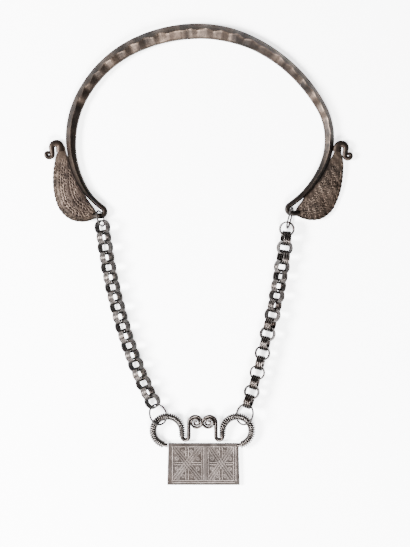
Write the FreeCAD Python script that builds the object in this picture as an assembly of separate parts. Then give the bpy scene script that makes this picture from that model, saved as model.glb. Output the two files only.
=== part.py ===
import FreeCAD, Part
import math
import os

# Hmong silver torque, laid flat: a forged crescent rod whose ends bend back into
# small loops and flatten into punched leaves with curled tips. Two chains of
# fluted round links run from the loops to a plate pendant in the form of a lock,
# whose two wire arms are wound with finer wire and end in flat scrolls.
# Sizes are millimetres. X runs to the right, Y runs from the pendant to the top
# of the crescent, and Z is up from the surface that the piece lies on. The
# origin is the bottom centre of the whole laid-out piece.

# Place of the piece in its own frame
mirror_x = 0.2            # middle line of the torque
rod_top_y = 129.4         # rod centre line at the top of the crescent
centre_shift = (-0.264, -0.044)  # brings the middle of the whole outline onto the origin

# Rod: arcs from the top centre to each end, every arc turning the same way
rod_arcs = {
    "left": [  # (radius, turn in degrees)
        (86.3, 24.5),
        (67.9, 37.3),
        (54.3, 57.7),
        (38.1, 22.5),
    ],
    "right": [
        (75.5, 28.8),
        (89.0, 32.0),
        (37.5, 55.2),
        (56.5, 28.0),
    ],
}
rod_tail = {"left": 2.4, "right": 2.4}   # straight run before the end loop
loop_radius = 2.5                        # centre line of the end loop
loop_lift = 1.4                          # the loop stands clear of the surface by this
lift_from = 62.0                         # distance back where the rod starts to rise
neck_length = 4.6                        # from the loop's lowest point into the leaf

# Rod thickness, by distance back from the end loop
rod_rows = [  # (back from the loop, left width, right width, height)
    (0.0, 3.3, 3.3, 3.2),
    (10.0, 3.4, 3.4, 3.3),
    (20.0, 4.1, 4.1, 3.7),
    (30.0, 4.8, 4.8, 4.3),
    (38.0, 5.4, 5.2, 4.8),
    (46.0, 6.2, 5.6, 5.2),
    (60.0, 6.8, 5.8, 5.6),
    (80.0, 7.4, 6.5, 6.1),
    (100.0, 8.2, 6.8, 6.5),
    (120.0, 8.9, 7.5, 6.8),
    (135.0, 9.1, 8.6, 7.0),
    (160.0, 9.1, 9.1, 7.0),
]

# Outline of the section, as shares of width (inner to outer) and of height
rod_section = [  # (name, across, up) for the hammered rod
    ("inner edge", -0.50, 0.48),
    ("inner rim", -0.43, 0.68),
    ("ridge", 0.04, 1.00),
    ("outer edge", 0.50, 0.50),
    ("outer hip", 0.34, 0.12),
    ("outer foot", 0.12, 0.00),
    ("inner foot", -0.16, 0.00),
    ("inner hip", -0.38, 0.14),
]
wire_section = [  # the same corners on the rounded wire of the loops
    ("inner edge", -0.50, 0.50),
    ("inner rim", -0.29, 0.91),
    ("ridge", 0.25, 0.93),
    ("outer edge", 0.50, 0.50),
    ("outer hip", 0.38, 0.18),
    ("outer foot", 0.13, 0.00),
    ("inner foot", -0.13, 0.00),
    ("inner hip", -0.38, 0.18),
]
hammer_pitch = 9.0        # length of one hammer mark along the rod
hammer_scoop = 0.07       # how far a mark sinks the ridge, as a share of height
hammer_swing = 0.13       # how far a mark pushes the ridge out, as a share of width
hammer_from = 40.0        # marks fade in between these distances from the loop
hammer_full = 60.0

# Leaf, measured off the rod: its edges lie outside the rod's centre line
leaf_rows = [  # (back from the loop, offset of inner edge, offset of outer edge)
    (0.0, 5.6, 7.8),
    (2.0, 4.1, 11.0),
    (4.5, 3.1, 14.4),
    (7.5, 2.5, 17.1),
    (10.5, 2.2, 18.5),
    (14.5, 2.3, 18.9),
    (18.5, 2.5, 17.9),
    (23.0, 2.7, 16.3),
    (28.0, 2.9, 14.1),
    (33.0, 3.0, 11.7),
    (37.5, 3.2, 9.4),
    (40.5, 3.4, 7.4),
    (42.0, 3.6, 6.4),
]
leaf_thick = 1.3
leaf_dome_radius = 40.0
leaf_crown_z = 3.5        # top of the dome
leaf_spine = [(42.0, 5.0), (8.0, 10.5)]   # two places on the crown line: (back, offset)

# Curl at the leaf's tip: a wire that hooks outward and rolls into a small spiral
curl_start = {  # (back, offset) where the wire leaves the leaf
    "left": (39.4, 6.4),
    "right": (40.2, 5.0),
}
curl_rise = 2.6           # straight run up to the hook
hook_radius = 2.45
curl_drop = 3.4           # straight run down to the spiral
curl_roll = [1.85, 1.0]   # radii of the half turns of the small spiral
curl_wire = [  # (share of the wire's length, width)
    (0.0, 4.0),
    (0.28, 3.6),
    (0.455, 2.8),
    (0.605, 2.1),
    (0.86, 1.4),
    (1.0, 0.9),
]
curl_height = 2.6         # the wire's section is flattened to this height where it is wider
curl_z = 2.7              # height of the curl's centre line at the leaf
wire_sides = 10

# Chain link: a ring bent from a strip of four wires soldered side by side
link_outer = 8.85         # outside diameter
link_wire = 0.8           # diameter of one wire
link_wires = 4
link_wire_step = 1.2      # from wire to wire
link_web = 0.45           # thickness of solder between two wires
link_count = 19

chain_start = {"left": (-55.4, 15.7), "right": (51.4, 14.7)}   # centre of the first link
chain_rows = {
    "left": [  # (link, turn from straight down, pitch to the next link, roll of odd links)
        (1, 8.0, 5.9, -36.0),
        (4, 9.0, 5.86, -38.0),
        (7, 13.0, 5.85, -40.0),
        (10, 15.0, 5.85, -40.0),
        (13, 19.0, 5.86, -40.0),
        (16, 22.5, 5.84, -37.0),
        (19, 28.0, 5.78, -32.0),
    ],
    "right": [
        (1, -5.0, 5.42, 7.0),
        (3, -8.0, 5.52, 21.0),
        (5, -9.0, 5.65, 34.0),
        (8, -11.0, 5.69, 50.0),
        (10, -14.0, 5.64, 61.0),
        (12, -15.0, 5.7, 72.0),
        (14, -14.5, 5.85, 80.0),
        (16, -15.0, 5.85, 82.0),
        (19, -19.0, 5.76, 75.0),
    ],
}

# Jump rings
top_ring_wire = 1.0
top_rings = {  # (centre x, y and z, length and width of centre line, lean, climb)
    "left": (-56.55, 20.85, 3.78, 9.2, 6.7, -59.5, 13.3),
    "right": (53.2, 21.17, 4.14, 12.1, 6.4, -75.5, 9.6),
}
lock_ring_wire = 1.1
lock_ring_size = 12.0     # diameter of the centre line
lock_rings = {  # (turn from straight down, from the last link to the ring's top, lean)
    "left": (22.4, 2.4, -40.3),
    "right": (-16.5, 1.82, 39.8),
}

# Lock pendant
plate_x = 3.1             # middle of the plate
plate_top_y = -109.5
plate_height = 24.3
plate_top_width = 40.7
plate_base_width = 42.0
plate_thick = 2.4
plate_edge = 0.5          # rounding of the plate's edges
relief = 0.35             # height of the raised lines
rim_width = 0.8
rim_inset = (2.6, 1.9, 2.8)    # side, top and bottom distance of the raised border
rib_width = 1.3
band_width = 2.2
arm_mirror_x = 2.5        # middle line between the two arms
arm_rise = 6.5            # the arms climb by this many degrees away from the plate
arm_z = 2.35              # centre of the arm at the plate
arm_loop_radius = 8.45
arm_loop_centre = (20.2, 7.3)    # out from the middle line, up from the plate's top
arm_drop = 3.4            # straight run from the loop to the small bend
arm_bend_radius = 1.95
arm_leg = 8.2             # straight run from the small bend to the scroll
scroll_roll = [3.8, 3.05, 2.3, 1.55, 0.8]   # radii of the scroll's half turns
arm_wire = [  # (share of the arm's length, diameter)
    (0.0, 2.3),
    (0.42, 2.1),
    (0.47, 1.75),
    (0.58, 1.6),
    (0.70, 1.38),
    (1.0, 1.25),
]
coil_start = 2.4          # bare arm at the plate, along the arm
coil_wire = 0.95          # diameter of the winding wire
coil_turns = 36
coil_end_wire = 0.62      # the winding thins towards the small bend
coil_air = 0.14           # air between the arm and its winding


def lerp(rows, at, column):
    """Read a table between its rows; its first column is the place."""
    if at <= rows[0][0]:
        return rows[0][column]
    for low, high in zip(rows, rows[1:]):
        if at <= high[0]:
            share = (at - low[0]) / (high[0] - low[0])
            return low[column] + share * (high[column] - low[column])
    return rows[-1][column]


def smooth(low, high, at):
    """Ease from 0 at low to 1 at high."""
    share = min(1.0, max(0.0, (at - low) / (high - low)))
    return share * share * (3.0 - 2.0 * share)


def walk(runs, start, heading):
    """Return a function of distance that follows straight runs and arcs in plan.

    A run is (radius, turn in degrees), or (None, length) where it is straight.
    The function gives x, y and heading in radians.
    """
    marks = []
    x, y, angle, along = start[0], start[1], math.radians(heading), 0.0
    for radius, amount in runs:
        turn = 0.0 if radius is None else math.radians(amount)
        length = amount if radius is None else radius * abs(turn)
        marks.append((along, length, turn, x, y, angle))
        x, y, angle = step(x, y, angle, turn, length)
        along += length

    def place(distance):
        for begin, length, turn, px, py, pa in marks:
            if distance <= begin + length or begin == marks[-1][0]:
                part = distance - begin
                return step(px, py, pa, turn * part / length, part)

    return place, along


def step(x, y, angle, turn, length):
    """Move along an arc of the given turn and length."""
    if abs(turn) < 1e-9:
        return x + length * math.cos(angle), y + length * math.sin(angle), angle
    radius = length / turn
    after = angle + turn
    x += radius * (math.sin(after) - math.sin(angle))
    y -= radius * (math.cos(after) - math.cos(angle))
    return x, y, after


def spread(total, count):
    """Evenly spaced distances from 0 to total."""
    return [total * index / count for index in range(count + 1)]


def ring_of(points):
    """Closed polygon through points."""
    return Part.makePolygon(points + [points[0]])


def tube(place, distances, z, diameter, sides=wire_sides, tallest=100.0):
    """Wire along a path in plan, thick by a function of distance, flattened to a greatest height."""
    wires = []
    for distance in distances:
        x, y, angle = place(distance)
        radius = diameter(distance) / 2.0
        rise = min(radius, tallest / 2.0)
        points = []
        for index in range(sides):
            turn = 2.0 * math.pi * (index + 0.5) / sides
            side = radius * math.cos(turn)
            points.append(FreeCAD.Vector(
                x - side * math.sin(angle),
                y + side * math.cos(angle),
                z(distance) + rise * math.sin(turn)))
        wires.append(ring_of(points))
    return Part.makeLoft(wires, True, True)


def rod_path(side):
    """Path of one half of the rod, from the top centre to its end loop."""
    runs = [(radius, -turn) for radius, turn in rod_arcs[side]]
    runs.append((None, rod_tail[side]))
    place, length = walk(runs, (0.0, 0.0), 0.0)
    hand = 1.0 if side == "right" else -1.0

    def mirrored(distance):
        x, y, angle = place(distance)
        return mirror_x + hand * x, rod_top_y + y, angle

    return mirrored, length, hand


def beside_rod(side, back, offset):
    """Plan place at a distance back from the end loop and outward of the rod."""
    place, length, hand = rod_path(side)
    x, y, angle = place(length - back)
    return FreeCAD.Vector(
        x - hand * offset * math.sin(angle), y + offset * math.cos(angle), 0.0)


def rod_corners(side, distance, mark):
    """Section corners at a distance from the top centre; mark is 0 to 1 in a dent."""
    place, length, hand = rod_path(side)
    x, y, angle = place(distance)
    back = length - distance
    width = lerp(rod_rows, back, 1 if side == "left" else 2)
    height = lerp(rod_rows, back, 3)
    rodness = smooth(2.0, 26.0, back)
    depth = mark * smooth(hammer_from, hammer_full, back)
    lift = loop_lift * (1.0 - smooth(0.0, lift_from, back))
    points = []
    for (name, across, up), (other, wire_across, wire_up) in zip(rod_section, wire_section):
        u = wire_across + rodness * (across - wire_across)
        v = wire_up + rodness * (up - wire_up)
        if name == "ridge":
            u += depth * hammer_swing
            v -= depth * hammer_scoop
        if name == "inner rim":
            v -= depth * hammer_scoop
        side_step = u * width
        points.append(FreeCAD.Vector(
            x - hand * side_step * math.sin(angle),
            y + side_step * math.cos(angle),
            lift + v * height))
    return points


def loop_corners(side):
    """Sections round the end loop and along the neck that runs into the leaf."""
    rod_place, length, hand = rod_path(side)
    x, y, angle = rod_place(length)
    back_turn = -math.degrees(angle)
    runs = [(loop_radius, back_turn), (None, neck_length)]
    place, total = walk(runs, (0.0, 0.0), math.degrees(angle))
    bend = total - neck_length
    stations = [bend * index / 9.0 for index in range(1, 10)]
    stations += [bend + 1.4, bend + neck_length]
    rows = []
    for distance in stations:
        dx, dy, turned = place(distance)
        flat = smooth(bend, total, distance)
        width = rod_rows[0][1] + flat * 0.2
        height = rod_rows[0][3] - flat * 1.3
        points = []
        for name, across, up in wire_section:
            side_step = across * width
            points.append(FreeCAD.Vector(
                x + hand * (dx - side_step * math.sin(turned)),
                y + dy + side_step * math.cos(turned),
                loop_lift + 0.15 * flat + up * height))
        rows.append(points)
    return rows


def rod_solid():
    """Crescent rod with both end loops, one loft from neck to neck."""
    sections = {}
    for side in ("left", "right"):
        place, length, hand = rod_path(side)
        half_marks = int(round(2.0 * length / hammer_pitch))
        rows = []
        for index in range(half_marks + 1):
            rows.append(rod_corners(side, length * index / half_marks, index % 2))
        sections[side] = rows + loop_corners(side)
    left = [row for row in reversed(sections["left"][1:])]
    wires = [ring_of(row) for row in left + sections["right"]]
    return Part.makeLoft(wires, True, True)


def spline_edge(points):
    """Smooth edge through points."""
    curve = Part.BSplineCurve()
    curve.interpolate(points)
    return curve.toShape()


def leaf_solid(side):
    """Domed leaf plate beside the rod's end."""
    inner = [beside_rod(side, back, near) for back, near, far in leaf_rows]
    outer = [beside_rod(side, back, far) for back, near, far in leaf_rows]
    tip = Part.makeLine(inner[-1], outer[-1])
    foot = Part.makeLine(outer[0], inner[0])
    outline = Part.Wire([spline_edge(inner), tip, spline_edge(list(reversed(outer))), foot])
    blank = Part.Face(outline).extrude(FreeCAD.Vector(0, 0, 2.0 * leaf_crown_z))
    top = beside_rod(side, *leaf_spine[0])
    base = beside_rod(side, *leaf_spine[1])
    axis = (top - base).normalize()
    reach = 60.0
    centre = base - axis * reach
    centre.z = leaf_crown_z - leaf_dome_radius
    outside = Part.makeCylinder(leaf_dome_radius, 2.0 * reach, centre, axis)
    inside = Part.makeCylinder(leaf_dome_radius - leaf_thick, 2.0 * reach, centre, axis)
    return blank.common(outside.cut(inside))


def curl_solid(side):
    """Wire that leaves the leaf's tip, hooks outward and rolls up."""
    place, length, hand = rod_path(side)
    start = beside_rod(side, *curl_start[side])
    angle = place(length - curl_start[side][0])[2]
    heading = math.degrees(angle) + 180.0
    runs = [(None, curl_rise), (hook_radius, -180.0), (None, curl_drop)]
    runs += [(radius, 180.0) for radius in curl_roll]
    local, total = walk(runs, (0.0, 0.0), heading)

    def mirrored(distance):
        x, y, turned = local(distance)
        if hand < 0.0:
            turned = math.pi - turned
        return start.x + hand * x, start.y + y, turned

    def height(distance):
        return curl_z - 0.5 * smooth(0.4, 0.8, distance / total)

    def thick(distance):
        return lerp(curl_wire, distance / total, 1)

    return tube(mirrored, spread(total, 40), height, thick, tallest=curl_height)


def torque_solid():
    """Rod, leaves and curls forged from one bar."""
    body = rod_solid()
    for side in ("left", "right"):
        body = body.fuse([leaf_solid(side), curl_solid(side)])
    return body.removeSplitter()


def link_profile():
    """Half section of a link: four wires side by side, soldered by a thin web."""
    radius = (link_outer - link_wire) / 2.0
    bump = link_wire / 2.0
    web = link_web / 2.0
    reach = math.sqrt(bump ** 2 - web ** 2)
    rows = [(index - (link_wires - 1) / 2.0) * link_wire_step for index in range(link_wires)]
    edges = []
    for way, order in ((1.0, rows), (-1.0, list(reversed(rows)))):
        last = None
        for place in order:
            first = place == order[0]
            final = place == order[-1]
            begin = (radius, place - way * bump) if first else (radius + way * web, place - way * reach)
            end = (radius, place + way * bump) if final else (radius + way * web, place + way * reach)
            if last is not None:
                edges.append(Part.makeLine(flat(last), flat(begin)))
            crest = (radius + way * bump, place)
            edges.append(Part.Arc(flat(begin), flat(crest), flat(end)).toShape())
            last = end
    return Part.Face(Part.Wire(edges))


def flat(pair):
    """Point in the plane through the link's axis."""
    return FreeCAD.Vector(pair[0], 0.0, pair[1])


def link_centres(side):
    """Plan centre, heading and roll of every link of one chain."""
    x, y = chain_start[side]
    rows = chain_rows[side]
    out = []
    for number in range(1, link_count + 1):
        lean = math.radians(lerp(rows, number, 1))
        roll = lerp(rows, number, 3)
        if number % 2 == 0:
            roll -= 90.0
        out.append((x, y, lean, roll))
        after = math.radians(lerp(rows, number + 0.5, 1))
        pitch = lerp(rows, number + 0.5, 2)
        x += pitch * math.sin(after)
        y -= pitch * math.cos(after)
    return out


def link_height(roll):
    """Height of a link's centre when it stands on the surface at a roll."""
    ring = (link_outer - link_wire) / 2.0
    half = (link_wires - 1) / 2.0 * link_wire_step
    angle = math.radians(roll)
    return ring * abs(math.sin(angle)) + half * abs(math.cos(angle)) + link_wire / 2.0


def chain_links(side):
    """All links of one chain at one height, each turned about the chain's line."""
    blank = link_profile().revolve(FreeCAD.Vector(0, 0, 0), FreeCAD.Vector(0, 0, 1), 360.0)
    rows = link_centres(side)
    links = []
    z = max(link_height(row[3]) for row in rows)
    for x, y, lean, roll in rows:
        angle = math.radians(roll)
        axis = FreeCAD.Vector(
            math.sin(angle) * math.cos(lean), math.sin(angle) * math.sin(lean), math.cos(angle))
        link = blank.copy()
        turn = FreeCAD.Rotation(FreeCAD.Vector(0, 0, 1), axis)
        link.Placement = FreeCAD.Placement(FreeCAD.Vector(x, y, z), turn)
        links.append(link)
    return links


def lean_frame(centre, turn, lean, climb=0.0):
    """Placement with X along a plan direction that climbs, and Y lifted by lean."""
    rise = math.radians(climb)
    level = math.cos(rise)
    x_axis = FreeCAD.Vector(
        level * math.sin(turn), -level * math.cos(turn), math.sin(rise))
    side = FreeCAD.Vector(math.cos(turn), math.sin(turn), 0.0)
    over = x_axis.cross(side)
    angle = math.radians(lean)
    y_axis = side * math.cos(angle) + over * math.sin(angle)
    z_axis = x_axis.cross(y_axis)
    matrix = FreeCAD.Matrix(
        x_axis.x, y_axis.x, z_axis.x, centre.x,
        x_axis.y, y_axis.y, z_axis.y, centre.y,
        x_axis.z, y_axis.z, z_axis.z, centre.z,
        0, 0, 0, 1)
    return FreeCAD.Placement(matrix)


def top_ring(side):
    """Oval ring that holds the first link in the torque's end loop."""
    x, y, z, length, width, lean, climb = top_rings[side]
    end = width / 2.0
    straight = (length - width) / 2.0
    wire = top_ring_wire / 2.0
    cap = Part.makeTorus(end, wire, FreeCAD.Vector(0, 0, 0), FreeCAD.Vector(0, 0, 1), -180, 180, 180)
    near = cap.copy()
    near.rotate(FreeCAD.Vector(0, 0, 0), FreeCAD.Vector(0, 0, 1), -90.0)
    near.translate(FreeCAD.Vector(straight, 0, 0))
    far = cap.copy()
    far.rotate(FreeCAD.Vector(0, 0, 0), FreeCAD.Vector(0, 0, 1), 90.0)
    far.translate(FreeCAD.Vector(-straight, 0, 0))
    parts = [far]
    for hand in (-1.0, 1.0):
        corner = FreeCAD.Vector(-straight, hand * end, 0)
        parts.append(Part.makeCylinder(wire, 2.0 * straight, corner, FreeCAD.Vector(1, 0, 0)))
    ring = near.fuse(parts)
    start = link_centres(side)[0]
    turn = math.atan2(start[0] - x, y - start[1])
    ring.Placement = lean_frame(FreeCAD.Vector(x, y, z), turn, lean, climb)
    return ring


def lock_ring(side):
    """Round ring that holds the last link and the pendant's arm."""
    x, y, lean, roll = link_centres(side)[-1]
    degrees, drop, tilt = lock_rings[side]
    turn = math.radians(degrees)
    radius = lock_ring_size / 2.0
    wire = lock_ring_wire / 2.0
    reach = drop + radius
    height = radius * math.sin(math.radians(abs(tilt))) + wire
    centre = FreeCAD.Vector(x + reach * math.sin(turn), y - reach * math.cos(turn), height)
    ring = Part.makeTorus(radius, wire)
    ring.Placement = lean_frame(centre, turn, tilt)
    return ring


def arm_path():
    """Path of the right arm in its own plane, from the plate to the scroll's eye."""
    out, up = arm_loop_centre
    runs = [(arm_loop_radius, 270.0), (None, arm_drop), (arm_bend_radius, -180.0)]
    runs.append((None, arm_leg))
    runs += [(radius, 180.0) for radius in scroll_roll]
    return walk(runs, (out, up - arm_loop_radius), 0.0)


def arm_frame(side, shape):
    """Set an arm or its winding on the plate, mirrored for the left one."""
    if side == "left":
        shape = shape.mirror(FreeCAD.Vector(0, 0, 0), FreeCAD.Vector(1, 0, 0))
    shape = shape.copy()
    shape.rotate(FreeCAD.Vector(0, 0, 0), FreeCAD.Vector(1, 0, 0), arm_rise)
    shape.translate(FreeCAD.Vector(arm_mirror_x, plate_top_y, arm_z))
    return shape


def arm_stations(place_length):
    """Distances along an arm, close together where it bends tightly."""
    loop = arm_loop_radius * 1.5 * math.pi
    bend = arm_bend_radius * math.pi
    marks = spread(loop, 30)
    marks += [loop + arm_drop + bend * index / 8.0 for index in range(9)]
    leg = loop + arm_drop + bend + arm_leg
    for radius in scroll_roll:
        marks += [leg + radius * math.pi * index / 8.0 for index in range(8)]
        leg += radius * math.pi
    marks.append(place_length)
    return marks


def level(distance):
    """Height in the arm's own plane."""
    return 0.0


def arm_solid(side):
    """Bare arm wire, from the plate's corner to the scroll."""
    place, total = arm_path()

    def thick(distance):
        return lerp(arm_wire, distance / total, 1)

    return arm_frame(side, tube(place, arm_stations(total), level, thick))


def coil_solid(side):
    """Ribbed sleeve of the wire wound round an arm."""
    place, total = arm_path()
    end = arm_loop_radius * 1.5 * math.pi + arm_drop

    def core(distance):
        return lerp(arm_wire, distance / total, 1) + 2.0 * coil_air

    def ribbed(distance):
        share = (distance - coil_start) / (end - coil_start)
        wire = coil_wire + smooth(0.75, 1.0, share) * (coil_end_wire - coil_wire)
        valley = (round(share * coil_turns * 2) % 2 == 0)
        return core(distance) + 2.0 * wire - (0.5 * wire if valley else 0.0)

    length = end - coil_start
    stations = [coil_start + distance for distance in spread(length, coil_turns * 2)]
    outer = tube(place, stations, level, ribbed)
    inner_stations = [distance for distance in arm_stations(total) if distance < end]
    inner = tube(place, inner_stations + [end + 0.4], level, core)
    return arm_frame(side, outer.cut(inner))


def raised_bar(start, end, width):
    """Low bar on the plate between two plan points."""
    span = FreeCAD.Vector(end[0] - start[0], end[1] - start[1], 0.0)
    bar = Part.makeBox(span.Length, width, 2.0 * relief)
    bar.translate(FreeCAD.Vector(0, -width / 2.0, -relief))
    angle = math.degrees(math.atan2(span.y, span.x))
    bar.rotate(FreeCAD.Vector(0, 0, 0), FreeCAD.Vector(0, 0, 1), angle)
    bar.translate(FreeCAD.Vector(start[0], start[1], plate_thick))
    return bar


def plate_solid():
    """Pendant plate with a raised border, ribs and crossed bands."""
    top, base = plate_top_width / 2.0, plate_base_width / 2.0
    low = plate_top_y - plate_height
    corners = [
        FreeCAD.Vector(plate_x - top, plate_top_y, 0),
        FreeCAD.Vector(plate_x + top, plate_top_y, 0),
        FreeCAD.Vector(plate_x + base, low, 0),
        FreeCAD.Vector(plate_x - base, low, 0),
    ]
    block = Part.Face(ring_of(corners)).extrude(FreeCAD.Vector(0, 0, plate_thick))
    edges = [edge for edge in block.Edges if edge.BoundBox.ZMin > -plate_edge]
    block = block.makeFillet(plate_edge, edges)
    side, above, below = rim_inset
    left = plate_x - top + side
    right = plate_x + top - side
    high = plate_top_y - above
    foot = low + below
    middle_y = (high + foot) / 2.0
    bars = [
        raised_bar((left, high), (right, high), rim_width),
        raised_bar((left, foot), (right, foot), rim_width),
        raised_bar((left, foot), (left, high), rim_width),
        raised_bar((right, foot), (right, high), rim_width),
        raised_bar((plate_x, foot), (plate_x, high), band_width),
    ]
    for inner, outer in ((left, plate_x - band_width), (plate_x + band_width, right)):
        middle_x = (inner + outer) / 2.0
        bars.append(raised_bar((middle_x, foot), (middle_x, high), rib_width))
        bars.append(raised_bar((inner, middle_y), (outer, middle_y), rib_width))
        bars.append(raised_bar((inner, foot), (outer, high), band_width))
        bars.append(raised_bar((inner, high), (outer, foot), band_width))
    return block.fuse(bars).removeSplitter()


def lock_solid():
    """Plate, arms and scrolls soldered into one."""
    return plate_solid().fuse([arm_solid("left"), arm_solid("right")])


def save(name, shape):
    """Write one piece and report its size."""
    shape = shape.copy()
    shape.translate(FreeCAD.Vector(centre_shift[0], centre_shift[1], 0.0))
    box = shape.BoundBox
    print("%-14s solids %d valid %s volume %8.1f  x %.2f %.2f  y %.2f %.2f  z %.2f %.2f" % (
        name, len(shape.Solids), shape.isValid(), shape.Volume,
        box.XMin, box.XMax, box.YMin, box.YMax, box.ZMin, box.ZMax))
    shape.exportStep("parts/%s.step" % name)
    return box


def main():
    os.makedirs("parts", exist_ok=True)
    whole = FreeCAD.BoundBox()
    whole.add(save("torque", torque_solid()))
    for side in ("left", "right"):
        for number, link in enumerate(chain_links(side), 1):
            whole.add(save("%s_link_%02d" % (side, number), link))
        whole.add(save(side + "_top_ring", top_ring(side)))
        whole.add(save(side + "_lock_ring", lock_ring(side)))
        whole.add(save(side + "_coil", coil_solid(side)))
    whole.add(save("lock", lock_solid()))
    print("whole piece: x %.2f to %.2f, y %.2f to %.2f, z %.2f to %.2f" % (
        whole.XMin, whole.XMax, whole.YMin, whole.YMax, whole.ZMin, whole.ZMax))


main()
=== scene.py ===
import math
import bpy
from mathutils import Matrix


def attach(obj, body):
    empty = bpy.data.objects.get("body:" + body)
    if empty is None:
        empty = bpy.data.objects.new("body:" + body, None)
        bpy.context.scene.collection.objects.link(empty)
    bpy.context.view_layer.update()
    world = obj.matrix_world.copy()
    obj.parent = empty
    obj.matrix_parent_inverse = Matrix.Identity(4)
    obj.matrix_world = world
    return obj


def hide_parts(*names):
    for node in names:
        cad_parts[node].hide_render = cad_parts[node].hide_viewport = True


bl_info = {
    "name": "Hmong silver torque",
    "version": (1, 0, 0),
    "blender": (4, 5, 0),
    "location": "View3D > Sidebar > Torque",
    "description": "Forged neck torque with punched leaves, fluted chains and a lock pendant",
    "category": "Object",
}

import bpy
import numpy as np
from bpy.props import FloatProperty, FloatVectorProperty, IntProperty, PointerProperty
from mathutils import Vector

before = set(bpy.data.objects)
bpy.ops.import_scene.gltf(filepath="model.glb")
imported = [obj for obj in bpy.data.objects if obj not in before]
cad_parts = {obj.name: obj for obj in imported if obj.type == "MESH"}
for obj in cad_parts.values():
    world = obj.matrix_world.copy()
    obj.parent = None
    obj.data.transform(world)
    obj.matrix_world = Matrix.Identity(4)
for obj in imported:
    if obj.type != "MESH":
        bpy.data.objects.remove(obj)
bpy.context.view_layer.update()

MM = 0.001
SHIFT = (-0.264, -0.044, 0.0)   # brings the middle of the outline onto the origin
SIDES = ("left", "right")
MIDDLE_X = 0.2               # middle line of the torque
ROD_TOP = 129.4              # rod centre line at the top of the crescent

ROD_ARCS = {  # radius, turn in degrees, from the top centre to the end loop
    "left": [(86.3, 24.5), (67.9, 37.3), (54.3, 57.7), (38.1, 22.5)],
    "right": [(75.5, 28.8), (89.0, 32.0), (37.5, 55.2), (56.5, 28.0)],
}
ROD_TAIL = 2.4
ROD_ROWS = [  # back from the loop, left width, right width, height
    (0.0, 3.3, 3.3, 3.2), (10.0, 3.4, 3.4, 3.3), (20.0, 4.1, 4.1, 3.7),
    (30.0, 4.8, 4.8, 4.3), (38.0, 5.4, 5.2, 4.8), (46.0, 6.2, 5.6, 5.2),
    (60.0, 6.8, 5.8, 5.6), (80.0, 7.4, 6.5, 6.1), (100.0, 8.2, 6.8, 6.5),
    (120.0, 8.9, 7.5, 6.8), (135.0, 9.1, 8.6, 7.0), (160.0, 9.1, 9.1, 7.0),
]
ROD_SECTION = [  # across, up: inner edge, inner rim, ridge, outer edge, hips and feet
    (-0.50, 0.48), (-0.43, 0.68), (0.04, 1.00), (0.50, 0.50),
    (0.34, 0.12), (0.12, 0.00), (-0.16, 0.00), (-0.38, 0.14),
]
WIRE_SECTION = [
    (-0.50, 0.50), (-0.29, 0.91), (0.25, 0.93), (0.50, 0.50),
    (0.38, 0.18), (0.13, 0.00), (-0.13, 0.00), (-0.38, 0.18),
]
HAMMER_PITCH = 9.0           # length of one hammer mark along the rod
HAMMER_SWING = 0.13          # how far a mark pushes the ridge out, as a share of width
HAMMER_SCOOP = 0.07          # how far a mark sinks the ridge, as a share of height
HAMMER_FADE = (40.0, 60.0)   # marks fade in between these distances from the loop
ROD_SHINE = 0.3              # wear of the rod's faces
ROD_SHINES = [(8, 9, 0.85), (3, 5, 0.5), (14, 26, 0.2)]   # ridge, inner rim, underside
LOOP_RADIUS = 2.5
NECK_LENGTH = 4.6
LEAF_ROWS = [  # back from the loop, inner edge, outer edge
    (0.0, 5.6, 7.8), (2.0, 4.1, 11.0), (4.5, 3.1, 14.4),
    (7.5, 2.5, 17.1), (10.5, 2.2, 18.5), (14.5, 2.3, 18.9),
    (18.5, 2.5, 17.9), (23.0, 2.7, 16.3), (28.0, 2.9, 14.1),
    (33.0, 3.0, 11.7), (37.5, 3.2, 9.4), (40.5, 3.4, 7.4),
    (42.0, 3.6, 6.4),
]
LEAF_SPINE = [(42.0, 5.0), (8.0, 10.5)]
CURL_START = {"left": (39.4, 6.4), "right": (40.2, 5.0)}
CURL_ROLL = [1.85, 1.0]
CURL_WIRE = [  # share of the wire's length, width
    (0.0, 5.4), (0.1, 5.0), (0.2, 4.6), (0.34, 4.0),
    (0.455, 3.4), (0.605, 3.0), (0.86, 2.5), (1.0, 2.1),
]
CURL_HEIGHT = 2.6            # the wire is flattened to this height
CURL_RISE = 2.6              # straight run before the hook
HOOK_RADIUS = 2.45
CURL_DROP = 3.4              # straight run after the hook
CURL_Z = 2.7                 # height of the wire's centre line at the leaf
LEAF_LENGTH = 42.0
PUNCH_TRACKS = [2.5, 4.0, 5.4, 6.9, 8.3, 9.8, 11.2, 12.7, 14.1]   # in from the outer edge
PUNCH_RADII = (0.62, 0.4)    # of the arcs, in turn from track to track
PUNCH_PITCHES = (1.75, 1.3)
PUNCH_END = 36.0             # distance back at which the tracks stop
TUCK_FROM = {"left": 9.5, "right": 6.5}   # back where the leaf slips under the rod

LINK_COUNT = 19
CHAIN_START = {"left": (-55.4, 15.7), "right": (51.4, 14.7)}
CHAIN_ROWS = {  # link, turn from straight down, pitch to the next link, roll of odd links
    "left": [
        (1, 8.0, 5.9, -36.0),
        (4, 9.0, 5.86, -38.0),
        (7, 13.0, 5.85, -40.0),
        (10, 15.0, 5.85, -40.0),
        (13, 19.0, 5.86, -40.0),
        (16, 22.5, 5.84, -37.0),
        (19, 28.0, 5.78, -32.0),
    ],
    "right": [
        (1, -5.0, 5.42, 7.0),
        (3, -8.0, 5.52, 21.0),
        (5, -9.0, 5.65, 34.0),
        (8, -11.0, 5.69, 50.0),
        (10, -14.0, 5.64, 61.0),
        (12, -15.0, 5.7, 72.0),
        (14, -14.5, 5.85, 80.0),
        (16, -15.0, 5.85, 82.0),
        (19, -19.0, 5.76, 75.0),
    ],
}

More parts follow.
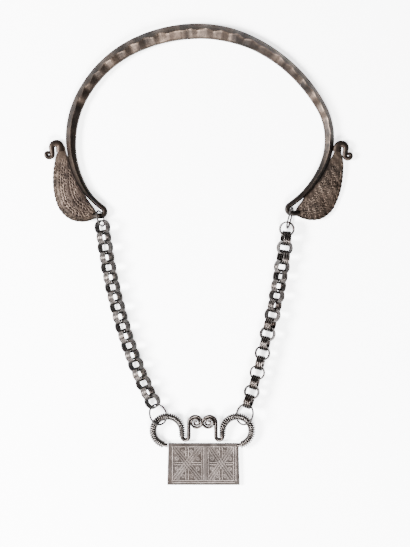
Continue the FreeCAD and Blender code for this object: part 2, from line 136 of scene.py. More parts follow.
PLATE_X = 3.1
BAND_HALF = 1.7              # half width of a crossed band
TWILL_PITCH = 1.2            # of the fine strokes on the bands
FIELD_DOTS = [(0.3, 0.72), (0.66, 0.84), (0.76, 0.3), (0.88, 0.6), (0.34, 0.36)]   # shares of a panel
FIELD_RINGS = 3              # the first dots have a ringlet round them
PLATE_TOP = -109.5
PLATE_HEIGHT = 24.3
PLATE_TOP_WIDTH = 40.7
PLATE_BASE_WIDTH = 42.0
ARM_MIDDLE = 2.5
ARM_Z = 2.35
ARM_RISE = 6.5
ARM_CENTRE = (20.2, 7.3)
ARM_RADIUS = 8.45
ARM_DROP = 3.4
ARM_BEND = 1.95
ARM_LEG = 8.2
SCROLL_ROLL = [3.8, 3.05, 2.3, 1.55, 0.8]
ARM_WIRE = [  # share of the arm's length, thickness
    (0.0, 2.3), (0.42, 2.3), (0.47, 2.4), (0.58, 2.2), (0.66, 1.85), (0.74, 1.5), (1.0, 1.35),
]
COIL_AIR = 0.1               # between the arm and its winding
COIL_TAPER = 0.75            # share of the winding after which its wire thins
COIL_STEPS = 18              # points in one turn of the winding
CHAIN_SEED = 11
FLOOR_GAP = 0.0002           # metres that the floor lies under the piece
SENSOR = 36.0
VIEW_MIDDLE = ((205.0 - 198.1) * 0.58, (254.4 - 273.5) * 0.58)
VIEW_LEVEL = 0.003
FINISHES = {  # dark and light colour, sheen, roughness, scale of the grain and of the patches
    "torque_rod_silver": ("rod_dark", "rod_light", 0.92, 0.4, 900.0, 120.0),
    "torque_leaf_silver": ("leaf_dark", "leaf_light", 0.92, 0.5, 1100.0, 170.0),
    "chain_silver": ("chain_dark", "chain_light", 1.0, 0.3, 1200.0, 260.0),
    "coil_silver": ("chain_dark", "coil_light", 0.95, 0.34, 1200.0, 260.0),
    "lock_silver": ("lock_dark", "lock_light", 0.85, 0.52, 1200.0, 200.0),
    "ring_silver": ("ring_dark", "ring_light", 0.6, 0.55, 1200.0, 260.0),
}


# Paths and plain maths

def lerp(rows, at, column):
    """Read a table between its rows."""
    places = [row[0] for row in rows]
    return float(np.interp(at, places, [row[column] for row in rows]))


def eased(rows, at, column):
    """Read a table along a smooth curve through its rows."""
    index = 0
    while index < len(rows) - 2 and at > rows[index + 1][0]:
        index += 1
    x0, x1 = rows[index][0], rows[index + 1][0]
    y0, y1 = rows[index][column], rows[index + 1][column]
    before, after = rows[max(0, index - 1)], rows[min(len(rows) - 1, index + 2)]
    m0 = (y1 - before[column]) / max(1e-6, x1 - before[0])
    m1 = (after[column] - y0) / max(1e-6, after[0] - x0)
    t = min(1.0, max(0.0, (at - x0) / (x1 - x0)))
    span = x1 - x0
    a = (2 * t ** 3 - 3 * t ** 2 + 1) * y0 + (t ** 3 - 2 * t ** 2 + t) * span * m0
    return a + (-2 * t ** 3 + 3 * t ** 2) * y1 + (t ** 3 - t ** 2) * span * m1


def smooth(low, high, at):
    share = np.clip((at - low) / (high - low), 0.0, 1.0)
    return share * share * (3.0 - 2.0 * share)


def step(x, y, angle, turn, length):
    """Move along an arc of the given turn and length."""
    if abs(turn) < 1e-9:
        return x + length * math.cos(angle), y + length * math.sin(angle), angle
    radius = length / turn
    after = angle + turn
    x += radius * (math.sin(after) - math.sin(angle))
    y -= radius * (math.cos(after) - math.cos(angle))
    return x, y, after


def walk(runs, start, heading):
    """Function of distance along straight runs and arcs: x, y and heading."""
    marks = []
    x, y, angle, along = start[0], start[1], math.radians(heading), 0.0
    for radius, amount in runs:
        turn = 0.0 if radius is None else math.radians(amount)
        length = amount if radius is None else radius * abs(turn)
        marks.append((along, length, turn, x, y, angle))
        x, y, angle = step(x, y, angle, turn, length)
        along += length

    def place(distance):
        for begin, length, turn, px, py, pa in marks:
            if distance <= begin + length or begin == marks[-1][0]:
                part = distance - begin
                return step(px, py, pa, turn * part / length, part)

    return place, along


# Meshes

def put(name, data):
    """New object in the scene."""
    made = bpy.data.objects.new(name, data)
    bpy.context.scene.collection.objects.link(made)
    return made


def mark(mesh, key, values, kind="FLOAT"):
    """Give each point of a mesh a number or a vector."""
    layer = mesh.attributes.new(key, kind, "POINT")
    field = "value" if kind == "FLOAT" else "vector"
    layer.data.foreach_set(field, np.asarray(values, dtype=np.float32).ravel())


def smooth_faces(mesh):
    for polygon in mesh.polygons:
        polygon.use_smooth = True


def make_piece(name, shell, first_faces, finishes, sharp_angle):
    """Object at the origin from a shell; faces past the first ones take the second finish."""
    mesh = bpy.data.meshes.new(name)
    mesh.from_pydata(((np.asarray(shell.points) + SHIFT) * MM).tolist(), [], shell.faces)
    for key, values in shell.values.items():
        mark(mesh, key, values)
    for finish in finishes:
        mesh.materials.append(silver(finish))
    mesh.validate()
    mesh.update()
    smooth_faces(mesh)
    mesh.set_sharp_from_angle(angle=math.radians(sharp_angle))
    for polygon in mesh.polygons:
        polygon.material_index = int(polygon.index >= first_faces)
    return put(name, mesh)


def grid_faces(rows, cols):
    """Faces of a grid of points, row by row."""
    corners = [row * cols + col for row in range(rows - 1) for col in range(cols - 1)]
    return [(a, a + 1, a + cols + 1, a + cols) for a in corners]


def grid_rim(rows, cols):
    """Points round a grid's edge, first along its first row."""
    rim = list(range(cols)) + [row * cols + cols - 1 for row in range(1, rows)]
    rim += [(rows - 1) * cols + col for col in range(cols - 2, -1, -1)]
    return rim + [row * cols for row in range(rows - 2, 0, -1)]


class Shell:
    """Collects points, faces and per-point values of one piece."""

    def __init__(self):
        self.points = []
        self.faces = []
        self.values = {"crest": [], "tone": []}

    def add(self, points, faces, crest, tone):
        base = len(self.points)
        points = [tuple(point) for point in points]
        self.points += points
        self.faces += [tuple(base + index for index in face) for face in faces]
        for key, value in (("crest", crest), ("tone", tone)):
            column = np.broadcast_to(np.asarray(value, dtype=float), (len(points),))
            self.values[key] += column.tolist()

    def loft(self, rings, crest=0.6, tone=0.5, caps=True):
        """Skin over rings of equal count; rings run forward, corners anticlockwise."""
        rings = np.asarray(rings, dtype=float)
        count, sides = rings.shape[0], rings.shape[1]
        faces = []
        for row in range(count - 1):
            for col in range(sides):
                after = (col + 1) % sides
                faces.append((
                    row * sides + col, row * sides + after,
                    (row + 1) * sides + after, (row + 1) * sides + col))
        if caps:
            faces.append(tuple(reversed(range(sides))))
            faces.append(tuple((count - 1) * sides + col for col in range(sides)))
        crest = np.broadcast_to(np.asarray(crest, dtype=float), (count, sides)).ravel()
        tone = np.asarray(tone, dtype=float)
        if tone.ndim == 1:
            tone = np.repeat(tone, sides)
        self.add(rings.reshape(-1, 3), faces, crest, tone)


def flip_if_inward(rings):
    """Turn a loft's corner order so that its faces point outward."""
    rings = np.asarray(rings, dtype=float)
    middle = len(rings) // 2
    ahead = rings[min(len(rings) - 1, middle + 1)].mean(0) - rings[middle - 1].mean(0)
    ring = rings[middle] - rings[middle].mean(0)
    normal = np.cross(ring, np.roll(ring, -1, axis=0)).sum(0)
    return rings if np.dot(normal, ahead) < 0.0 else rings[:, ::-1]


def round_tube(place, distances, height, diameter, sides, tallest=100.0):
    """Rings of a wire along a plan path, flattened to a greatest height."""
    rings = []
    for distance in distances:
        x, y, angle = place(distance)
        radius = diameter(distance) / 2.0
        rise = min(radius, tallest / 2.0)
        ring = []
        for index in range(sides):
            turn = 2.0 * math.pi * (index + 0.5) / sides
            side = radius * math.cos(turn)
            ring.append((
                x - side * math.sin(angle), y + side * math.cos(angle),
                height(distance) + rise * math.sin(turn)))
        rings.append(ring)
    return rings


# Shader maths

class Wire:
    """A node socket that adds Math nodes when it is used in an expression."""

    def __init__(self, tree, socket):
        self.tree = tree
        self.socket = socket

    def join(self, operation, *others):
        node = self.tree.nodes.new("ShaderNodeMath")
        node.operation = operation
        for slot, value in zip(node.inputs, (self,) + others):
            feed(self.tree, slot, value)
        return Wire(self.tree, node.outputs[0])

    def __add__(self, other):
        return self.join("ADD", other)

    __radd__ = __add__

    def __sub__(self, other):
        return self.join("SUBTRACT", other)

    def __rsub__(self, other):
        return (self * -1.0).join("ADD", other)

    def __mul__(self, other):
        return self.join("MULTIPLY", other)

    __rmul__ = __mul__

    def power(self, other):
        return self.join("POWER", other)

    def clamp(self):
        return self.join("MAXIMUM", 0.0).join("MINIMUM", 1.0)


def feed(tree, slot, value):
    """Give a socket a number, a colour or a link."""
    if isinstance(value, Wire):
        tree.links.new(value.socket, slot)
    else:
        slot.default_value = value


class Graph:
    """Node tree whose nodes all come from one method."""

    def __init__(self, tree):
        self.tree = tree

    def node(self, kind, settings=None, inputs=None, output=0):
        made = self.tree.nodes.new(kind)
        for key, value in (settings or {}).items():
            setattr(made, key, value)
        for key, value in (inputs or {}).items():
            feed(self.tree, made.inputs[key], value)
        return Wire(self.tree, made.outputs[output]) if len(made.outputs) else None

    def noise(self, place, scale, detail, roughness=0.55):
        return self.node("ShaderNodeTexNoise", None, {
            "Vector": place, "Scale": scale, "Detail": detail, "Roughness": roughness})

    def mix(self, factor, low, high):
        return self.node("ShaderNodeMix", {"data_type": "RGBA"}, {
            0: factor, 6: low, 7: high}, 2)


def new_material(name):
    """Material with an empty node tree, and its graph."""
    material = bpy.data.materials.get(name) or bpy.data.materials.new(name)
    material.use_nodes = True
    material.node_tree.nodes.clear()
    return material, Graph(material.node_tree)


def silver(name):
    """Tarnished silver: dark sulphide in the low places, rubbed bright metal on the high ones, and
    painted shade and painted light where the per-point values ask for them.
    """
    look = bpy.context.scene.torque_finish
    dark_key, light_key, sheen, rough_base, grain, patch = FINISHES[name]
    dark, light = (getattr(look, key)[:] + (1.0,) for key in (dark_key, light_key))
    material, graph = new_material(name)
    place = graph.node("ShaderNodeTexCoord", None, None, "Object")
    crest = graph.node("ShaderNodeAttribute", {"attribute_name": "crest"}, None, "Fac")
    tone = graph.node("ShaderNodeAttribute", {"attribute_name": "tone"}, None, "Fac")
    blotch = graph.noise(place, patch, 5.0, 0.6)
    speck = graph.noise(place, grain, 4.0, 0.65)
    stretch = graph.node("ShaderNodeMapping", None, {
        "Vector": place, "Rotation": (0.2, 0.1, 0.7), "Scale": (6.0, 1.0, 1.0)})
    scratch = graph.noise(stretch, grain * 0.7, 3.0, 0.7)
    # This mix holds real tarnish and wear, and also painted shade and painted light from the per-point
    # values.
    wear_and_shade = crest * 0.62 + (blotch - 0.5) * 1.15 + (speck - 0.5) * 0.55
    wear_and_shade = (wear_and_shade + (tone - 0.5) * 0.5 + 0.08).clamp()
    metal = graph.mix(wear_and_shade.power(1.25), dark, light)
    warm = graph.noise(place, patch * 0.45, 3.0)
    tint = graph.mix(((warm - 0.42) * 2.6).clamp() * 0.4, metal, look.tarnish_tint[:] + (1.0,))
    rough = rough_base - wear_and_shade * 0.12 + (scratch - 0.5) * 0.22 + (1.0 - crest) * 0.1
    bump = graph.node("ShaderNodeBump", None, {
        "Height": scratch * 0.35 + speck * 0.65, "Strength": look.grain_strength, "Distance": 0.00025})
    surface = graph.node("ShaderNodeBsdfPrincipled", None, {
        "Base Color": tint, "Metallic": sheen, "Roughness": rough.clamp(), "Normal": bump})
    graph.node("ShaderNodeOutputMaterial", None, {"Surface": surface})
    return material

# Torque

def rod_path(side):
    runs = [(radius, -turn) for radius, turn in ROD_ARCS[side]]
    runs.append((None, ROD_TAIL))
    place, length = walk(runs, (0.0, 0.0), 0.0)
    hand = 1.0 if side == "right" else -1.0

    def mirrored(distance):
        x, y, angle = place(distance)
        return MIDDLE_X + hand * x, ROD_TOP + y, angle

    return mirrored, length, hand


def beside_rod(side, back, offset):
    place, length, hand = rod_path(side)
    x, y, angle = place(length - back)
    return x - hand * offset * math.sin(angle), y + offset * math.cos(angle)


def round_corners(corners, parts, roundness):
    """More corners round a section, straight or on a smooth closed curve."""
    corners = np.asarray(corners)
    out = []
    count = len(corners)
    for index in range(count):
        p0, p1 = corners[index - 1], corners[index]
        p2, p3 = corners[(index + 1) % count], corners[(index + 2) % count]
        for part in range(parts):
            t = part / parts
            straight = p1 + (p2 - p1) * t
            curve = 0.5 * (2 * p1 + (p2 - p0) * t + (2 * p0 - 5 * p1 + 4 * p2 - p3) * t ** 2
                           + (3 * p1 - p0 - 3 * p2 + p3) * t ** 3)
            out.append(straight + (curve - straight) * roundness)
    return np.array(out)


def rod_rings(side, sizes, rng):
    """Fine sections of one half of the rod with its hammer marks."""
    place, length, hand = rod_path(side)
    marks = int(round(2.0 * length / HAMMER_PITCH))
    swing = rng.uniform(0.45, 1.1, marks + 2)
    tilt = rng.uniform(-0.035, 0.035, marks + 2)
    patches = rng.uniform(0.15, 0.95, marks + 2)
    rings, crests, tones = [], [], []
    per_mark = 4
    for index in range(marks * per_mark + 1):
        distance = length * index / (marks * per_mark)
        at = index / per_mark
        low = int(at)
        share = at - low
        level = [(k % 2) * swing[k] for k in (low, low + 1)]
        mark = level[0] + (level[1] - level[0]) * share
        lean = tilt[low] + (tilt[low + 1] - tilt[low]) * share
        x, y, angle = place(distance)
        back = length - distance
        width = lerp(ROD_ROWS, back, 1 if side == "left" else 2)
        height = lerp(ROD_ROWS, back, 3)
        rodness = float(smooth(2.0, 26.0, back))
        depth = mark * float(smooth(*HAMMER_FADE, back))
        # Painted shade: the rod's colour darkens towards its end loops; random patches lie on top farther
        # up.
        low_down = 0.35 * (1.0 - float(smooth(25.0, 75.0, back)))
        tones.append(0.45 - low_down + (patches[int(at + 0.5)] - 0.5) * float(smooth(30.0, 60.0, back)))
        lift = sizes.loop_lift * (1.0 - float(smooth(0.0, 62.0, back)))
        corners = []
        for name, ((a, v), (wa, wv)) in enumerate(zip(ROD_SECTION, WIRE_SECTION)):
            u = wa + rodness * (a - wa)
            w = wv + rodness * (v - wv)
            if name == 2:
                u += depth * HAMMER_SWING + lean * rodness
                w -= depth * HAMMER_SCOOP
            if name == 1:
                w -= depth * HAMMER_SCOOP - lean * 0.4 * rodness
            corners.append((u * width, lift + w * height))
        fine = round_corners(corners, 4, 1.0 - 0.86 * rodness)
        ring = [(x - hand * u * math.sin(angle), y + u * math.cos(angle), z) for u, z in fine]
        rings.append(ring)
        shine = np.full(len(fine), ROD_SHINE)
        for first, last, level in ROD_SHINES:
            shine[first:last] = level
        crests.append(shine)
    return rings, crests, tones


def loop_rings(side, sizes):
    """Fine sections round the end loop and along the neck."""
    place, length, hand = rod_path(side)
    x, y, angle = place(length)
    runs = [(LOOP_RADIUS, -math.degrees(angle)), (None, NECK_LENGTH)]
    local, total = walk(runs, (0.0, 0.0), math.degrees(angle))
    bend = total - NECK_LENGTH
    stations = [bend * index / 20.0 for index in range(1, 21)]
    stations += [bend + NECK_LENGTH * share for share in (0.2, 0.4, 0.7, 1.0)]
    rings, crests = [], []
    for distance in stations:
        dx, dy, turned = local(distance)
        flat = float(smooth(bend, total, distance))
        width = 3.3 + flat * 0.2
        height = 3.2 - flat * 1.3
        corners = [(u * width, sizes.loop_lift + 0.15 * flat + v * height) for u, v in WIRE_SECTION]
        fine = round_corners(corners, 4, 1.0)
        rings.append([(
            x + hand * (dx - u * math.sin(turned)),
            y + dy + u * math.cos(turned), z) for u, z in fine])
        crests.append(np.full(len(fine), 0.22))
    return rings, crests


def crescent(s, o, centre, radius, aim, half_span, width):
    """Strength of an arc stroke at places s, o."""
    ds, do = s - centre[0], o - centre[1]
    far = np.hypot(ds, do)
    angle = np.arctan2(do, ds) - aim
    angle = np.abs((angle + np.pi) % (2.0 * np.pi) - np.pi)
    ends = np.clip(1.0 - np.maximum(0.0, angle - half_span) * radius / width, 0.0, 1.0)
    return np.exp(-((far - radius) / width) ** 2) * ends


def leaf_punches(side, sizes, s, o, inner, outer, rng):
    """Depth and raised lip of the punched strokes at back distances s and offsets o."""
    depth = np.zeros_like(s)
    lip = np.zeros_like(s)
    for order, track in enumerate(PUNCH_TRACKS):
        at = 3.0 + 0.7 * (order % 2)
        while at < PUNCH_END:
            near, far = eased(LEAF_ROWS, at, 1), eased(LEAF_ROWS, at, 2)
            if far - track - 0.9 > near:
                radius = PUNCH_RADII[order % 2]
                aim = math.radians((90.0 if order % 4 == 0 else -90.0) + rng.uniform(-30.0, 30.0))
                centre = (at + rng.uniform(-0.18, 0.18), far - track + rng.uniform(-0.15, 0.15))
                strength = rng.uniform(0.55, 1.0)
                stroke = crescent(s, o, centre, radius, aim, 1.3, sizes.punch_width)
                raised = crescent(s, o, centre, radius + 0.34, aim, 1.2, sizes.punch_width)
                depth = np.maximum(depth, stroke * strength)
                lip = np.maximum(lip, raised * strength)
            at += PUNCH_PITCHES[order % 2]
    away = outer - o
    ticks = (0.5 + 0.5 * np.cos(2.0 * np.pi * s / sizes.edge_pitch)) ** 1.5
    band = smooth(0.0, 0.3, away) * (1.0 - smooth(1.2, 1.7, away))
    depth = np.maximum(depth, band * ticks)
    line = np.exp(-((away - 1.75) / 0.16) ** 2)
    depth = np.maximum(depth, line * 0.7)
    inner_line = np.exp(-((o - inner - 0.8) / 0.16) ** 2) * smooth(3.0, 6.0, s)
    depth = np.maximum(depth, inner_line * 0.5)
    if side == "right":
        ring = crescent(s, o, (25.5, 11.3), 1.35, 0.0, 4.0, sizes.punch_width)
        depth = np.maximum(depth, ring)
    calm = 1.0 - 0.7 * smooth(27.0, 36.0, s)
    return depth * calm, lip * (1.0 - depth) * calm


def leaf_shell(side, sizes, shell, rng):
    """Domed leaf with punched face, notched edge and a plain back."""
    rows, cols = 230, 84
    along = np.linspace(0.0, LEAF_LENGTH, rows)
    grid_s = np.repeat(along[:, None], cols, 1)
    inner = np.array([eased(LEAF_ROWS, at, 1) for at in along])
    outer = np.array([eased(LEAF_ROWS, at, 2) for at in along])
    beside = np.array([lerp(ROD_ROWS, at, 1 if side == "left" else 2) / 2.0 - 0.15 for at in along])
    begin = TUCK_FROM[side]
    tuck = smooth(begin, begin + 4.0, along) * (1.0 - smooth(34.5, 39.5, along))
    inner = inner + (np.minimum(inner, beside) - inner) * tuck
    notch = 0.22 * (0.5 - 0.5 * np.cos(2.0 * np.pi * along / sizes.edge_pitch)) ** 2
    outer = outer - notch * smooth(1.0, 4.0, along) * (1.0 - smooth(32.0, 38.0, along))
    share = np.linspace(0.0, 1.0, cols)
    grid_o = inner[:, None] + (outer - inner)[:, None] * share[None]
    depth, lip = leaf_punches(
        side, sizes, grid_s, grid_o, inner[:, None], outer[:, None], rng)
    place, length, hand = rod_path(side)
    fx, fy, fa = np.array([place(length - at) for at in along]).T[:, :, None]
    x = fx - hand * grid_o * np.sin(fa)
    y = fy + grid_o * np.cos(fa)
    top = np.array(beside_rod(side, *LEAF_SPINE[0]))
    base = np.array(beside_rod(side, *LEAF_SPINE[1]))
    axis = (top - base) / np.linalg.norm(top - base)
    off = (x - base[0]) * axis[1] - (y - base[1]) * axis[0]
    radius = sizes.leaf_dome
    dome = sizes.leaf_crown - radius + np.sqrt(radius ** 2 - off ** 2)
    under = sizes.leaf_crown - radius + np.sqrt((radius - sizes.leaf_thick) ** 2 - off ** 2)
    width = (outer - inner)[:, None]
    edge = np.minimum(share[None] * width, (1.0 - share[None]) * width)
    edge = np.minimum(edge, np.minimum(grid_s, LEAF_LENGTH - grid_s))
    soften = 0.35 * (1.0 - smooth(0.0, 0.5, edge))
    swell = 0.06 * np.sin(grid_s * 1.7 + grid_o * 0.9) * smooth(0.0, 1.5, edge)
    high = dome + (lip * 0.3 - depth) * sizes.punch_depth - soften + swell - 0.08
    upper = np.stack([x, y, high], -1).reshape(-1, 3)
    lower = np.stack([x, y, under], -1).reshape(-1, 3)
    faces = grid_faces(rows, cols)
    count = rows * cols
    under_faces = [tuple(count + i for i in reversed(face)) for face in faces]
    rim = grid_rim(rows, cols)
    walls = []
    for index, a in enumerate(rim):
        b = rim[(index + 1) % len(rim)]
        walls.append((b, a, count + a, count + b))
    every = faces + under_faces + walls
    points = np.concatenate([upper, lower])
    if np.cross(upper[1] - upper[0], upper[cols] - upper[0])[2] < 0.0:
        every = [tuple(reversed(face)) for face in every]
    crest = 0.34 + 0.75 * lip - 0.5 * depth
    low_side = smooth(3.0, 0.0, outer[:, None] - grid_o) * (1.0 - smooth(22.0, 34.0, grid_s))
    # Painted shadow: the leaf is painted dark along the rod where it slips under the rod. It is also
    # darker near all its edges and in a band along its outer edge.
    by_rod = 1.0 - smooth(0.3, 1.5, grid_o - inner[:, None])
    crest = crest - 0.35 * low_side - 0.3 * (1.0 - smooth(0.0, 0.7, edge)) - 0.7 * by_rod * tuck[:, None]
    crest = crest.reshape(-1)
    crest = np.concatenate([np.clip(crest, 0.0, 1.0), np.full(count, 0.35)])
    tone = 0.5 + 0.1 * np.sin(grid_s * 0.35 + 1.0).reshape(-1)
    shell.add(points, every, crest, np.concatenate([tone, np.full(count, 0.4)]))


def curl_rings(side):
    """Rings of the wire that hooks outward from the leaf's tip and rolls up."""
    place, length, hand = rod_path(side)
    start = beside_rod(side, *CURL_START[side])
    angle = place(length - CURL_START[side][0])[2]
    runs = [(None, CURL_RISE), (HOOK_RADIUS, -180.0), (None, CURL_DROP)]
    runs += [(radius, 180.0) for radius in CURL_ROLL]
    local, total = walk(runs, (0.0, 0.0), math.degrees(angle) + 180.0)

    def mirrored(distance):
        x, y, turned = local(distance)
        if hand < 0.0:
            turned = math.pi - turned
        return start[0] + hand * x, start[1] + y, turned

    def height(distance):
        return CURL_Z - 0.5 * float(smooth(0.4, 0.8, distance / total))

    def thick(distance):
        share = distance / total
        closing = 1.0 - 0.75 * float(smooth(0.985, 1.0, share))
        return lerp(CURL_WIRE, share, 1) * closing

    distances = np.linspace(0.0, total, 110)
    return round_tube(mirrored, distances, height, thick, 16, CURL_HEIGHT)


# Chains

def link_centres(side):
    """Plan centre, lean and roll of every link."""
    x, y = CHAIN_START[side]
    rows = CHAIN_ROWS[side]
    out = []
    for number in range(1, LINK_COUNT + 1):
        lean = math.radians(lerp(rows, number, 1))
        roll = lerp(rows, number, 3) - (90.0 if number % 2 == 0 else 0.0)
        out.append((x, y, lean, math.radians(roll)))
        after = math.radians(lerp(rows, number + 0.5, 1))
        pitch = lerp(rows, number + 0.5, 2)
        x += pitch * math.sin(after)
        y -= pitch * math.cos(after)
    return out


def link_blank(sizes):
    """Mesh of one link about Z: a fluted strip turned into a ring."""
    ring = (sizes.link_outer - sizes.link_wire) / 2.0
    bump = sizes.link_wire / 2.0
    web = sizes.link_web / 2.0
    rows = [(index - 1.5) * sizes.link_step for index in range(4)]
    reach = math.sqrt(bump ** 2 - web ** 2)
    limit = math.atan2(reach, web)
    profile = []
    for way in (1.0, -1.0):
        for index, row in enumerate(rows if way > 0.0 else rows[::-1]):
            low, high = -limit, limit
            if index == 0:
                low = -math.pi / 2.0
            if index == 3:
                high = math.pi / 2.0
            parts = 5
            for part in range(parts):
                turn = low + (high - low) * part / (parts - 1)
                if index == 0 and part == 0 and way < 0.0:
                    continue
                if index == 3 and part == parts - 1 and way < 0.0:
                    continue
                radial = math.cos(turn) * bump
                profile.append((
                    ring + way * radial, row + way * math.sin(turn) * bump,
                    (radial - web) / (bump - web)))
    segments = 44
    points, crest, faces = [], [], []
    for segment in range(segments):
        angle = 2.0 * math.pi * segment / segments
        for radius, z, high in profile:
            points.append((radius * math.cos(angle), radius * math.sin(angle), z))
            lit = max(0.0, high)
            # Flute tops lighter and flute grooves darker; the inner wall, inside the ring's centre line,
            # is painted shade, much darker than the outer side.
            crest.append(0.15 + 0.8 * lit if radius > ring else 0.25 * lit)
    sides = len(profile)
    for segment in range(segments):
        after = (segment + 1) % segments
        for col in range(sides):
            right = (col + 1) % sides
            faces.append((
                segment * sides + col, after * sides + col,
                after * sides + right, segment * sides + right))
    mesh = bpy.data.meshes.new("link_blank")
    mesh.from_pydata((np.array(points) * MM).tolist(), [], faces)
    mark(mesh, "crest", crest)
    smooth_faces(mesh)
    return put("link_blank", mesh)


def new_tree(name, inputs):
    """Geometry node tree with named inputs: its graph, its wires and the inputs' identifiers."""
    tree = bpy.data.node_groups.new(name, "GeometryNodeTree")
    tree.interface.new_socket(name="Geometry", in_out="INPUT", socket_type="NodeSocketGeometry")
    tree.interface.new_socket(name="Geometry", in_out="OUTPUT", socket_type="NodeSocketGeometry")
    names = {}
    for label, kind, default in inputs:
        slot = tree.interface.new_socket(name=label, in_out="INPUT", socket_type="NodeSocket" + kind)
        if default is not None:
            slot.default_value = default
        names[label] = slot.identifier
    start = tree.nodes.new("NodeGroupInput")
    given = {socket.name: Wire(tree, socket) for socket in start.outputs if socket.name}
    return Graph(tree), given, names


def close_tree(graph, geometry, material):
    """End a tree: real geometry with its material."""
    real = graph.node("GeometryNodeRealizeInstances", None, {"Geometry": geometry})
    painted = graph.node("GeometryNodeSetMaterial", None, {"Geometry": real, "Material": material})
    graph.node("NodeGroupOutput", None, {"Geometry": painted})


def chain_tree():
    """Sets a link on each point, with its axis along the point's axis."""
    graph, given, names = new_tree("chain_of_links", [
        ("Link", "Object", None), ("Material", "Material", None)])
    axis = graph.node("GeometryNodeInputNamedAttribute", {"data_type": "FLOAT_VECTOR"}, {
        "Name": "axis"}, "Attribute")
    turned = graph.node("FunctionNodeAlignRotationToVector", {"axis": "Z"}, {"Vector": axis})
    link = graph.node("GeometryNodeObjectInfo", {"transform_space": "ORIGINAL"}, {
        "Object": given["Link"]}, "Geometry")
    links = graph.node("GeometryNodeInstanceOnPoints", None, {
        "Points": given["Geometry"], "Instance": link, "Rotation": turned})
    close_tree(graph, links, given["Material"])
    return graph.tree, names


def run_tree(source, tree, names, name, values):
    """Evaluate a tree on an object and keep the result as a plain mesh piece."""
    modifier = source.modifiers.new("build", "NODES")
    modifier.node_group = tree
    for label, value in values.items():
        modifier[names[label]] = value
    bpy.context.view_layer.update()
    seen = source.evaluated_get(bpy.context.evaluated_depsgraph_get())
    mesh = bpy.data.meshes.new_from_object(seen)
    source.modifiers.remove(modifier)
    mesh.name = name
    piece = put(name, mesh)
    bpy.data.objects.remove(source)
    return piece


# Lock pendant

def arm_path():
    out, up = ARM_CENTRE
    runs = [(ARM_RADIUS, 270.0), (None, ARM_DROP), (ARM_BEND, -180.0), (None, ARM_LEG)]
    runs += [(radius, 180.0) for radius in SCROLL_ROLL]
    return walk(runs, (out, up - ARM_RADIUS), 0.0)


def set_arm(side, points):
    """Turn points of the arm's own plane into place on the plate."""
    points = np.asarray(points, dtype=float).copy()
    if side == "left":
        points[..., 0] *= -1.0
    angle = math.radians(ARM_RISE)
    x, y, z = points[..., 0], points[..., 1], points[..., 2]
    return np.stack([
        ARM_MIDDLE + x,
        PLATE_TOP + y * math.cos(angle) - z * math.sin(angle),
        ARM_Z + y * math.sin(angle) + z * math.cos(angle)], -1)


def stripe(distance, half, soft=0.12):
    """Ridge of a given half width about a line."""
    return 1.0 - smooth(half - soft, half + soft, np.abs(distance))


def ringlet(x, y, cx, cy, radius, width):
    return np.exp(-((np.hypot(x - cx, y - cy) - radius) / width) ** 2)


def plate_relief(x, y):
    """Height share of the plate's raised work at places x, y in millimetres."""
    high_y, low_y = PLATE_TOP - 1.9, PLATE_TOP - PLATE_HEIGHT + 2.8
    left, right = PLATE_X - 17.75, PLATE_X + 17.75
    middle_y = (high_y + low_y) / 2.0
    relief = np.zeros_like(x)
    within = stripe(y - middle_y, (high_y - low_y) / 2.0 + 0.3, 0.3)
    for line in (high_y, low_y, low_y - 1.1):
        relief = np.maximum(relief, stripe(y - line, 0.3) * stripe(x - PLATE_X, 18.3, 0.3))
    for line in (left, right, right + 1.3):
        relief = np.maximum(relief, stripe(x - line, 0.3) * within)
    inside = stripe(y - middle_y, (high_y - low_y) / 2.0, 0.2)
    relief = np.maximum(relief, inside * stripe(x - PLATE_X - 1.1, 1.0))
    for line in (PLATE_X - 0.75, PLATE_X + 2.95):
        relief = np.maximum(relief, inside * stripe(x - line, 0.26) * 0.8)
    for x0, x1 in ((left + 0.5, PLATE_X - 1.3), (PLATE_X + 3.5, right - 0.5)):
        cx = (x0 + x1) / 2.0
        half_x, half_y = (x1 - x0) / 2.0, (high_y - low_y) / 2.0
        panel = stripe(x - cx, half_x, 0.15) * inside
        length = math.hypot(half_x, half_y)
        clear = np.ones_like(x)
        lines = np.zeros_like(x)
        for way in (1.0, -1.0):
            across = ((x - cx) * half_y - way * (y - middle_y) * half_x) / length
            along = ((x - cx) * half_x + way * (y - middle_y) * half_y) / length
            body = stripe(across, BAND_HALF)
            clear = np.minimum(clear, 1.0 - body)
            for line in (-1.35, 0.0, 1.35):
                lines = np.maximum(lines, stripe(across - line, 0.26, 0.16))
            twill = 0.5 + 0.5 * np.cos((along + across * way * 0.8) * 2.0 * np.pi / TWILL_PITCH)
            lines = np.maximum(lines, body * twill * 0.35)
        rib = np.maximum(stripe(x - cx - 0.75, 0.28, 0.16), stripe(x - cx + 0.75, 0.28, 0.16))
        bar = np.maximum(stripe(y - middle_y - 0.6, 0.24, 0.16), stripe(y - middle_y + 0.6, 0.24, 0.16))
        fills = np.maximum(rib, bar)
        for sx in (-1.0, 1.0):
            for sy in (-1.0, 1.0):
                for index, (ax, ay) in enumerate(FIELD_DOTS):
                    px, py = cx + sx * half_x * ax, middle_y + sy * half_y * ay
                    if index < FIELD_RINGS:
                        fills = np.maximum(fills, ringlet(x, y, px, py, 0.85, 0.26))
                    dot = np.exp(-(((x - px) ** 2 + (y - py) ** 2) / 0.1))
                    fills = np.maximum(fills, dot)
        relief = np.maximum(relief, panel * np.maximum(lines, fills * clear))
    return relief


